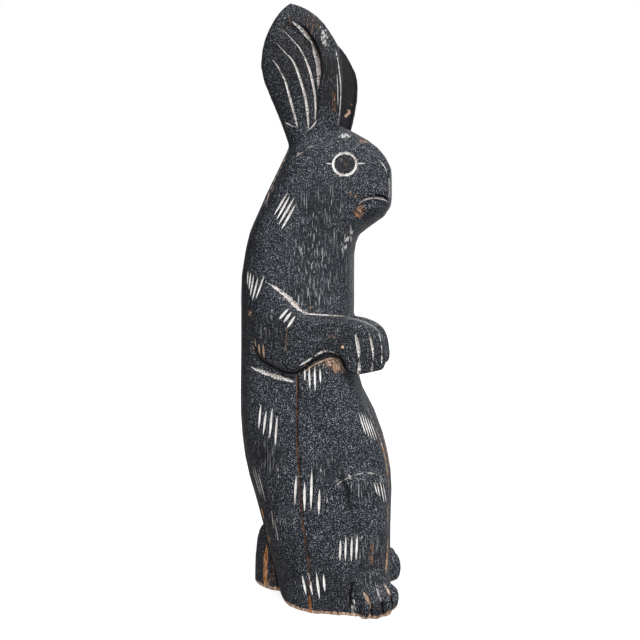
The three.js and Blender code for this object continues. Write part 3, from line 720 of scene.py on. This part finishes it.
# Scuffs by their finish: upright scratches side by side about a place, as [x, distance from the
# middle, z, half width, half height, longest scratch, share covered, lean in degrees, turn of the aim]
SCUFFS = {
    "brown": [
        [2, 61, 912, 9, 18, 14, 0.4, 0, 0],
        [-40, 58, 905, 10, 20, 14, 0.25, 0, 15],
        [34, 55, 786, 3, 14, 14, 0.7, 0, -20],
        [98, 36, 262, 5, 8, 8, 0.5, 0, -30],
        [-99, 70, 458, 3, 7, 6, 0.8, 0, 20],
        [-1, 72, 469, 4, 6, 5, 0.6, 0, 0],
        [38, 76, 425, 6, 3, 4, 0.5, 0, 0],
        [50, 73, 408, 8, 4, 4, 0.4, 0, 0],
        [93, 63, 88, 5, 22, 18, 0.5, 0, -30],
        [-77, 36, 40, 7, 32, 22, 0.7, 0, 30],
    ],
    "tan": [
        [-8, 52, 942, 5, 4, 6, 0.7, 0, 0],
        [78, 34, 732, 3, 11, 9, 0.8, 68, -25],
        [34, 62, 381, 18, 6, 6, 0.7, 0, -10],
    ],
    "amber": [
        [63, 57, 649, 3, 8, 7, 0.5, 0, -10],
        [70, 56, 639, 3, 5, 6, 0.5, 0, -10],
        [73, 53, 616, 7, 9, 9, 1.0, 0, -10],
        [79, 51, 623, 5, 7, 7, 1.0, 0, -10],
        [-87, 27, 30, 8, 30, 26, 1.0, 0, 30],
    ],
    "chalk": [
        [20, 61, 890, 6, 14, 9, 0.9, 0, -10],
        [45, 39, 743, 10, 4, 6, 0.6, 20, -25],
        [58, 35, 585, 4, 14, 11, 0.95, -25, -30],
        [49, 42, 571, 3, 14, 11, 0.95, 0, -25],
        [67, 74, 15, 4, 13, 10, 0.85, 0, -10],
    ],
    "pale": [
        # on the top of the knee: a pale rub, partly a painted highlight
        [60, 73, 212, 2, 7, 7, 1.0, -60, -10],
    ],
}
SCRATCH_SEED = 21
# The scratches in them, in millimetres; lengths and widths vary by these shares
SCRATCH_WIDTH = 1.9
SCRATCH_DEPTH = 0.65
SCRATCH_SPACING = 2.2
SCRATCH_STARTS = (0, 3)
SCRATCH_GAPS = (1.5, 4)
SCRATCH_LENGTHS = (0.35, 1)
SCRATCH_SHARES = (0.55, 1.1)
SCUFF_ROUNDNESS = 0.6  # how far the outermost column keeps its height


def scuff(place, side, chance):
    x, outward, z, half_width, half_height, longest, covered, lean, turn = place
    away, tilt = math.radians(turn), math.radians(lean)
    across = Vector((math.cos(away), side * math.sin(away), 0))
    across = Vector((across.x * math.cos(tilt), across.y * math.cos(tilt), -math.sin(tilt)))
    along = Vector((math.sin(tilt), 0, math.cos(tilt)))
    aim = Vector((math.sin(away), side * math.cos(away), 0))
    middle = on_side(x, outward, z, side) - aim * START_OUTSIDE * MM
    columns = max(int(half_width / SCRATCH_SPACING), 1)
    lines = []
    for column in range(-columns, columns + 1):
        reach = half_height * math.sqrt(1 - (column / (columns + SCUFF_ROUNDNESS)) ** 2)
        at = -reach + chance.uniform(*SCRATCH_STARTS)
        while at < reach:
            length = longest * chance.uniform(*SCRATCH_LENGTHS)
            foot = middle + (across * column * SCRATCH_SPACING + along * at) * MM
            top = foot + along * length * MM
            share = chance.uniform(*SCRATCH_SHARES)
            if chance.random() < covered:
                lines.append([(foot, aim, share), ((foot + top) / 2, aim, share), (top, aim, share)])
            at += length + chance.uniform(*SCRATCH_GAPS)
    return lines


def scratch_skin(cutter):
    chance = random.Random(SCRATCH_SEED)
    for width, finish, parts, drawn, turn, points in WORN_EDGES:
        lines = []
        for side in BOTH_SIDES:
            lines += dashes(side_line(points, side, BROKEN_STEPS, turn), parts, drawn, chance)
        cutter.cut(lines, width, WORN_DEPTH * width, finish, 0.4, 1.8, FINE_STEP)
    for finish, places in SCUFFS.items():
        lines = []
        for side in BOTH_SIDES:
            for place in places:
                lines += scuff(place, side, chance)
        cutter.cut(lines, SCRATCH_WIDTH, SCRATCH_DEPTH, finish, 0.4, 0.8, SCRATCH_STEP)


def thin_out(skin):
    """Takes away faces that the form doesn't need, first the slivers that the cuts leave beside them."""
    triangles = sum(len(face.vertices) - 2 for face in skin.data.polygons)
    if triangles > MOST_TRIANGLES:
        fewer = skin.modifiers.new("fewer faces", "DECIMATE")
        fewer.ratio = MOST_TRIANGLES / triangles
        fewer.use_collapse_triangulate = True
        applied(skin)


EYE = (51.4, 691.8)
EYE_RING = 17.8
EYE_RING_POINTS = 48
EYE_RING_START = 0.4
EYE_TICKS = [[(32, 692), (27, 692.5), (22, 693)], [(71, 692), (76, 692.5), (83, 693)]]
EYE_SPIKES = (20, 75, 115, 250, 290, 335)  # where the ring runs out in short spikes, in degrees
EYE_SPIKE_REACH = (17, 20, 22.5)


def about_eye(reach, turn):
    return EYE[0] + reach * math.cos(turn), EYE[1] + reach * math.sin(turn)


def carve_eyes(cutter):
    turns = np.linspace(EYE_RING_START, EYE_RING_START + 2 * math.pi, EYE_RING_POINTS)
    ring = [about_eye(EYE_RING, turn) for turn in turns]
    spikes = [[about_eye(reach, math.radians(turn)) for reach in EYE_SPIKE_REACH] for turn in EYE_SPIKES]
    for side in BOTH_SIDES:
        cutter.cut([side_line(ring, side, EYE_RING_STEPS)], 3.7, 2.2, "pale", 0.97, 2.2, EYE_RING_STEP)
        lines = [side_line(tick, side, MARK_STEPS, share=(1, 0.3)) for tick in EYE_TICKS]
        cutter.cut(lines, 3.4, 1.5, "pale", 0.6, 0.4, FINE_STEP)
        lines = [side_line(spike, side, MARK_STEPS, share=(1, 0.4)) for spike in spikes]
        cutter.cut(lines, 2.0, 0.9, "pale", 0.5, 0.4, FINE_STEP)


# What the finish needs to know about each place of the skin, kept as named values on its points

# Bare wood shows at these places: [x, distance from the middle, z, radius, strength], in millimetres
BARE_PLACES = [
    [38, 60, 378, 16, 0.8], [28, 66, 383, 12, 0.65], [50, 55, 370, 10, 0.6], [74, 66, 364, 7, 0.7],
    [90, 76, 6, 9, 0.7], [104, 70, 6, 10, 0.75], [120, 60, 7, 10, 0.75],
    [128, 36, 7, 10, 0.6], [82, 78, 3, 8, 0.6],
    [37, 77, 425, 5, 0.55], [51, 74, 409, 5, 0.6], [44, 76, 418, 5, 0.5],
    [29, 78, 431, 5, 0.5], [-1, 71, 469, 6, 0.6],
    [-99, 70, 459, 9, 0.6], [-94, 73, 404, 7, 0.6], [52, 57, 691, 5, 0.5],
    [64, 68, 424, 5, 0.5], [58, 71, 398, 5, 0.5], [-6, 79, 381, 4, 0.8],
    [40, 27, 787, 3, 0.5], [41, 28, 797, 6, 0.7], [44, 31, 806, 6, 0.75],
    [43, 30, 802, 5, 0.75], [48, 34, 819, 5, 0.5],
    [34, 54, 794, 5, 0.6], [33, 52, 780, 5, 0.6], [74, 35, 734, 6, 0.7], [81, 33, 731, 6, 0.7],
    [74, 52, 617, 9, 0.55], [80, 51, 625, 6, 0.5],
    [-87, 27, 42, 8, 0.75], [-86, 27, 26, 9, 0.9], [-84, 28, 10, 9, 0.8], [110, 66, 16, 6, 0.6],
]
# and along these edges: [radius, strength, points as (x, distance from the middle, z)]
BARE_EDGES = [
    [9, 0.75, [(106, 17, 250), (110, 16, 235), (114, 20, 206)]],
    [9, 0.85, [(116, 28, 98), (115, 34, 80), (114, 38, 58)]],
    [6, 0.6, [(117, 36, 160), (117, 36, 140), (117, 35, 120)]],
]
BARE_EDGE_STEPS = 12

# The paint is drawn into upright streaks along the grain at these
STREAKED_PLACES = [
    [20, 68, 555, 85, 1.0], [15, 66, 630, 55, 0.9], [0, 75, 490, 60, 0.8],
    [-70, 76, 235, 45, 0.8], [30, 79, 225, 42, 0.65],
    [80, 72, 190, 26, 0.9], [95, 66, 85, 45, 0.9], [96, 64, 48, 30, 1.0],
    [-70, 76, 150, 45, 0.5], [-60, 80, 440, 45, 0.6], [30, 56, 830, 50, 0.7],
    [0, 60, 905, 45, 0.5], [45, 76, 430, 35, 0.4],
]

# Rubbed through to brown undercoat in fine flecks
BROWNED_PLACES = [
    [-20, 62, 860, 75, 0.9], [-10, 58, 925, 40, 1.0], [-86, 75, 405, 26, 0.8], [-99, 70, 458, 14, 0.9],
    [-85, 70, 185, 45, 0.7], [-85, 35, 60, 60, 0.9], [64, 56, 635, 26, 0.8], [100, 66, 12, 28, 0.7],
    [105, 50, 80, 40, 0.7], [45, 70, 400, 40, 0.5], [52, 57, 691, 7, 0.5], [-40, 76, 362, 60, 0.5],
]

# Darker and smoother, as on the eyeballs and the front of the ears
DARK_PLACES = [
    [52, 56, 691, 21, 1.6], [27, 59, 840, 34, 0.85], [32, 57, 795, 30, 0.85], [14, 60, 880, 20, 0.6],
    [30, 56, 500, 26, 0.5], [-75, 77, 240, 26, 0.6], [70, 73, 195, 16, 0.5],
]

# Painted shade: the paint is made darker at these, where the figure lies in shade
PAINTED_SHADE_PLACES = [
    [-25, 60, 860, 100, 0.8], [25, 58, 820, 60, 0.6], [-60, 50, 780, 50, 0.7],
    [-110, 55, 430, 60, 0.6], [-100, 60, 250, 90, 0.7],
    [-90, 60, 180, 70, 0.8], [-60, 65, 60, 100, 0.8], [30, 78, 30, 85, 0.6], [100, 58, 400, 40, 0.7],
    [50, 70, 410, 70, 0.45], [-60, 80, 410, 80, 0.5], [-80, 40, 60, 70, 0.7], [116, 10, 620, 30, 0.5],
    [95, 40, 612, 22, 0.6], [112, 30, 90, 50, 0.5], [108, 68, 14, 24, 0.7],
    [60, 76, 170, 12, 0.8], [56, 77, 186, 12, 0.85],
    [64, 76, 36, 11, 0.9], [72, 72, 55, 9, 0.7], [86, 67, 67, 8, 0.6],
]

# Chalky paint, rubbed to streaks, at these
CHALKED_PLACES = [
    [15, 61, 906, 6, 0.6], [18, 61, 897, 7, 0.8], [20, 61, 888, 8, 0.9], [23, 62, 877, 7, 0.8],
    [46, 42, 740, 9, 0.85], [51, 39, 742, 9, 0.85], [57, 37, 741, 7, 0.7], [58, 35, 589, 7, 0.9],
    [53, 38, 577, 7, 0.85], [49, 43, 566, 6, 0.8], [-22, 59, 711, 4, 0.7], [-38, 78, 482, 7, 0.6],
    # [61, 73, 212] and [54, 73, 208] lie on the top of the knee: chalky paint, partly a painted highlight
    [-27, 76, 472, 8, 0.75], [-16, 73, 463, 7, 0.7], [61, 73, 212, 4, 1.0],
    [66, 74, 14, 8, 0.75], [64, 74, 34, 5, 0.7], [54, 73, 208, 4, 0.7],
]

# The rubbed rim round the underside, in millimetres
RIM_TOP = 8
RIM_FADE = 4
RIM_WEAR = 0.9
# Painted shade at the back edge, where the surface turns away from the light
BACK_SHADE = 0.92
BACK_SLOPE = 1.9
BACK_START = 0.22
# and painted shade on the ears' inner faces, between them, in millimetres
EAR_FOOT_HEIGHT = 762
EAR_MIDDLE = 52
EAR_SHADE = 1.24
PLACE_PEAK = 1.35  # above 1, so that the middle of a place has its full strength


def nearness(mm, places):
    """The strongest of the places at each point, fading to nothing at each place's radius."""
    best = np.zeros(len(mm))
    for *place, radius, strength in places:
        fade = np.clip(PLACE_PEAK - PLACE_PEAK * distance_to(mm, *place) / radius, 0, 1)
        best = np.maximum(best, strength * fade)
    return best


def mark_surface(data):
    mm = vertex_places(data) / MM
    normals = vertex_normals(data)
    rim = np.clip((RIM_TOP - mm[:, 2]) / RIM_FADE, 0, 1) * RIM_WEAR
    edges = [[*point, radius, strength] for radius, strength, points in BARE_EDGES
             for point in smooth_line(points, BARE_EDGE_STEPS)]
    # painted shade where the surface turns back, and on the inner faces of the ears
    painted_back_shade = BACK_SHADE * np.clip(-normals[:, 0] * BACK_SLOPE - BACK_START, 0, 1)
    facing_in = normals[:, 1] * mm[:, 1] < 0
    between_ears = (mm[:, 2] > EAR_FOOT_HEIGHT) & (np.abs(mm[:, 1]) < EAR_MIDDLE) & facing_in
    painted_ear_shade = EAR_SHADE * between_ears * np.clip(np.abs(normals[:, 1]) * 2, 0, 1)
    values = {
        "bare": np.maximum(nearness(mm, BARE_PLACES + edges), rim),
        "streaked": nearness(mm, STREAKED_PLACES),
        "browned": nearness(mm, BROWNED_PLACES),
        "chalked": nearness(mm, CHALKED_PLACES),
        "dark": nearness(mm, DARK_PLACES),
        "painted_shade": np.maximum(np.maximum(painted_back_shade, painted_ear_shade), nearness(mm, PAINTED_SHADE_PLACES)),
    }
    for name, value in values.items():
        data.attributes.new(name, "FLOAT", "POINT").data.foreach_set("value", value)


# The finishes

# How fine each pattern is, in cells of noise for each metre
CRACKLE_SCALE = 900
FIBRE_SCALE = 330.0
FADING_SCALE = 7
RUBBING_SCALE = 38
PATCH_SCALE = 26
STREAK_PATCH_SCALE = 45
SMEAR_SCALE = 360
SPECK_SCALE = 300
FRAY_SCALE = 300
STAIN_SCALE = 70
PAINT_LEFT_SCALE = 430

# How deep the patterns lie, and how the surfaces shine
CRACKLE_RELIEF = 0.8 * MM
PAINTED_FIBRE_RELIEF = 0.4 * MM
CUT_FIBRE_RELIEF = 0.3 * MM
PAINT_ROUGHNESS = (0.5, 0.65)
PAINT_SHINE = 0.14
CUT_ROUGHNESS = 0.85
CUT_SHINE = 0.2

DEEP_PAINT = (0.010, 0.012, 0.016, 1)
FADED_PAINT = (0.0145, 0.017, 0.022, 1)
WORN_PAINT = (0.026, 0.030, 0.038, 1)
CRACKLE_FLECK_AND_GLINT = (0.47, 0.51, 0.585, 1)
STREAK = (0.50, 0.51, 0.54, 1)
CHALK = (0.62, 0.59, 0.58, 1)
SMOOTH_DARK = (0.016, 0.013, 0.013, 1)
UNDERCOAT = (0.105, 0.052, 0.034, 1)
PAINTED_SHADE_COLOUR = (0.004, 0.004, 0.005, 1)
STAINED_WOOD = (0.14, 0.065, 0.04, 1)
BARE_WOOD = ((0.32, 0.19, 0.12, 1), (0.80, 0.61, 0.47, 1))
CUT_STAIN = (0.30, 0.15, 0.08, 1)
BLACK_FLECK = (0.03, 0.028, 0.03)

# The walls of the cuts: [material, darker and lighter tone along the grain, how much paint is left,
# its colour, how strong the brown stains are]
FINISHES = {
    "pale": ["pale gouge cuts", (0.76, 0.73, 0.71), (0.98, 0.97, 0.96), 0.0, (0.20, 0.17, 0.16), 0.25],
    "ragged": ["ragged worn cuts", (0.66, 0.61, 0.58), (0.98, 0.96, 0.94), 0.09, BLACK_FLECK, 0.35],
    "grey": ["shallow grey cuts", (0.32, 0.30, 0.29), (0.58, 0.55, 0.53), 0.05, BLACK_FLECK, 0.3],
    "chalk": ["chalky scratches", (0.52, 0.51, 0.51), (0.86, 0.85, 0.85), 0.03, BLACK_FLECK, 0.1],
    "brown": ["brown scratches", (0.14, 0.07, 0.045), (0.30, 0.17, 0.11), 0.08, BLACK_FLECK, 0.2],
    "mottled": ["mottled ear step", (0.34, 0.28, 0.28), (0.95, 0.90, 0.88), 0.085, BLACK_FLECK, 0.35],
    "amber": ["bare amber wood", (0.36, 0.15, 0.055), (0.80, 0.42, 0.17), 0.01, (0.09, 0.035, 0.02), 0.4],
    "tan": ["bare tan wood", (0.38, 0.24, 0.16), (0.78, 0.62, 0.50), 0.04, (0.10, 0.045, 0.03), 0.5],
    "split": ["open drying crack", (0.09, 0.035, 0.022), (0.44, 0.22, 0.13), 0.08, (0.03, 0.01, 0.008),
              0.0],
    # painted shade: near-black walls where shade falls deep in the creases
    "shade": ["dark creases", (0.010, 0.008, 0.008), (0.022, 0.018, 0.018), 0.0, (0.05, 0.03, 0.02),
              0.05],
}


def new_group(name, inputs, outputs):
    """A shader node group of numbers, with a default for each input."""
    tree = bpy.data.node_groups.new(name, "ShaderNodeTree")
    for label, default in inputs.items():
        socket = tree.interface.new_socket(label, in_out="INPUT", socket_type="NodeSocketFloat")
        socket.default_value = default
    for label in outputs:
        tree.interface.new_socket(label, in_out="OUTPUT", socket_type="NodeSocketFloat")
    n = Nodes(tree)
    return tree, n, n.node("NodeGroupInput").outputs, n.node("NodeGroupOutput").inputs


def crackle_group():
    """Old paint drawn up into a fine crackle: light flecks, a little longer than wide, over dark gaps;
    the flecks are partly painted glints.
    """
    tree, n, given, result = new_group(
        "crackled skin", {"Stretch": 0.75, "Coverage": 0.42}, ["Flecks", "Height"])
    stretch = n.node("ShaderNodeCombineXYZ", {"X": 1.0, "Y": 1.0, "Z": given["Stretch"]})
    place = n.node("ShaderNodeVectorMath", {0: n.place(), 1: stretch.outputs["Vector"]},
                   operation="MULTIPLY")
    fine = n.noise(place.outputs["Vector"], CRACKLE_SCALE, 1.0)
    level = n.maths("SUBTRACT", 0.75, n.maths("MULTIPLY", given["Coverage"], 0.4))
    n.feed(result["Flecks"], n.ramp(n.maths("SUBTRACT", fine, level), 0.0, 0.12))
    n.feed(result["Height"], fine)
    return tree


def grain_group():
    """Upright wood grain: fine fibres, drawn out along the log."""
    tree, n, given, result = new_group("upright grain", {"Fineness": 1.0}, ["Fibres"])
    scale = n.maths("MULTIPLY", given["Fineness"], FIBRE_SCALE)
    n.feed(result["Fibres"], n.noise(n.place((1, 1, 0.09)), scale, 3.0))
    return tree


def paint_material(crackle, grain):
    material, n, shader = new_material("crackled paint over wood")
    place = n.place()
    streaked_here = n.ramp(n.value_of("streaked"), 0.1, 0.8)
    skin = n.group(crackle)
    drawn = n.group(crackle, Stretch=0.045, Coverage=0.38)
    fibres = n.group(grain)["Fibres"]
    fading = n.noise(place, FADING_SCALE, 3.0)
    rubbing = n.noise(place, RUBBING_SCALE, 3.0)

    # Paint, with crackle where it isn't drawn into streaks
    colour = n.blend(n.ramp(fading, 0.3, 0.7), DEEP_PAINT, FADED_PAINT)
    colour = n.blend(n.ramp(rubbing, 0.45, 0.75, 0.0, 0.25), colour, WORN_PAINT)
    patchy = n.ramp(n.noise(place, PATCH_SCALE, 2.0), 0.3, 0.62, 0.92, 1.0)
    unstreaked = n.maths("SUBTRACT", 1.0, n.maths("MULTIPLY", streaked_here, 0.62))
    # Paint, with crackle where it isn't drawn into streaks; its light flecks are partly pale paint,
    # partly painted glints on the crackle's bumps
    patchy = n.maths("MULTIPLY", patchy, unstreaked)
    colour = n.blend(n.maths("MULTIPLY", skin["Flecks"], patchy), colour, CRACKLE_FLECK_AND_GLINT)
    patch = n.ramp(n.noise(n.place((1, 1, 0.4)), STREAK_PATCH_SCALE, 2.0), 0.3, 0.52, 0.3, 1.0)
    streak = n.maths("MULTIPLY", drawn["Flecks"], n.maths("MULTIPLY", streaked_here, patch))
    colour = n.blend(streak, colour, STREAK)

    # Chalky smears, smooth dark places, specks of undercoat, and painted shade at the back edges, between
    # the ears and in creases and hollows
    smear = n.swing(n.place((1, 1, 0.2)), SMEAR_SCALE, 3.0, 0.6, 3.0)
    chalk = n.ramp(n.maths("ADD", n.value_of("chalked"), smear), 0.5, 0.68)
    colour = n.blend(n.maths("MULTIPLY", chalk, 0.9), colour, CHALK)
    dark = n.ramp(n.value_of("dark"), 0.3, 0.7)
    colour = n.blend(n.maths("MULTIPLY", dark, 0.6), colour, SMOOTH_DARK)
    speck = n.maths("ADD", n.noise(n.place((1, 1, 0.5)), SPECK_SCALE, 3.0, 0.6),
                    n.maths("MULTIPLY", n.value_of("browned"), 0.13))
    colour = n.blend(n.ramp(speck, 0.68, 0.76, 0.0, 0.8), colour, UNDERCOAT)
    # painted shade, mixed towards near-black
    colour = n.blend(n.maths("MULTIPLY", n.value_of("painted_shade"), 0.75), colour, PAINTED_SHADE_COLOUR)

    # Wood rubbed bare, with a brown stain round its frayed edge
    fray = n.swing(n.place((1, 1, 0.6)), FRAY_SCALE, 4.0, 0.7, 2.4)
    worn = n.maths("ADD", n.value_of("bare"), fray)
    colour = n.blend(n.ramp(worn, 0.42, 0.52), colour, STAINED_WOOD)
    colour = n.blend(n.ramp(worn, 0.54, 0.66), colour, n.blend(n.ramp(fibres, 0.35, 0.7), *BARE_WOOD))

    n.feed(shader["Base Color"], colour)
    n.feed(shader["Roughness"], n.ramp(rubbing, 0.2, 0.8, *PAINT_ROUGHNESS))
    shader["Specular IOR Level"].default_value = PAINT_SHINE
    under = n.bumped(fibres, 0.25, PAINTED_FIBRE_RELIEF)
    n.feed(shader["Normal"], n.bumped(skin["Height"], 0.6, CRACKLE_RELIEF, under))
    return material


def cut_material(grain, name, low, high, paint_left, paint_colour, stains):
    """Wood laid bare by the gouge: two tones along the grain, dark flecks of left paint, brown stains."""
    material, n, shader = new_material(name)
    place = n.place()
    fibres = n.group(grain)["Fibres"]
    tone = n.blend(n.ramp(fibres, 0.3, 0.75), (*low, 1), (*high, 1))
    stained = n.blend(n.ramp(n.noise(place, STAIN_SCALE, 3.0), 0.52, 0.68, 0.0, stains), tone, CUT_STAIN)
    fleck = n.ramp(n.maths("ADD", n.noise(place, PAINT_LEFT_SCALE, 3.0, 0.65), paint_left), 0.60, 0.68)
    n.feed(shader["Base Color"], n.blend(fleck, stained, (*paint_colour, 1)))
    shader["Roughness"].default_value = CUT_ROUGHNESS
    shader["Specular IOR Level"].default_value = CUT_SHINE
    n.feed(shader["Normal"], n.bumped(fibres, 0.4, CUT_FIBRE_RELIEF))
    return material


def rabbit():
    skin = make_skin()
    grain = grain_group()
    skin.data.materials.clear()
    skin.data.materials.append(paint_material(crackle_group(), grain))
    cutter = Cutter(skin, {name: cut_material(grain, *values) for name, values in FINISHES.items()})
    carve_lines(cutter)
    carve_eyes(cutter)
    carve_strokes(cutter)
    scratch_skin(cutter)
    thin_out(skin)
    mark_surface(skin.data)
    skin.data.polygons.foreach_set("use_smooth", [True] * len(skin.data.polygons))
    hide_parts("carved_rabbit")
    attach(skin, "root")


make_camera()
make_light()
make_floor()
rabbit()
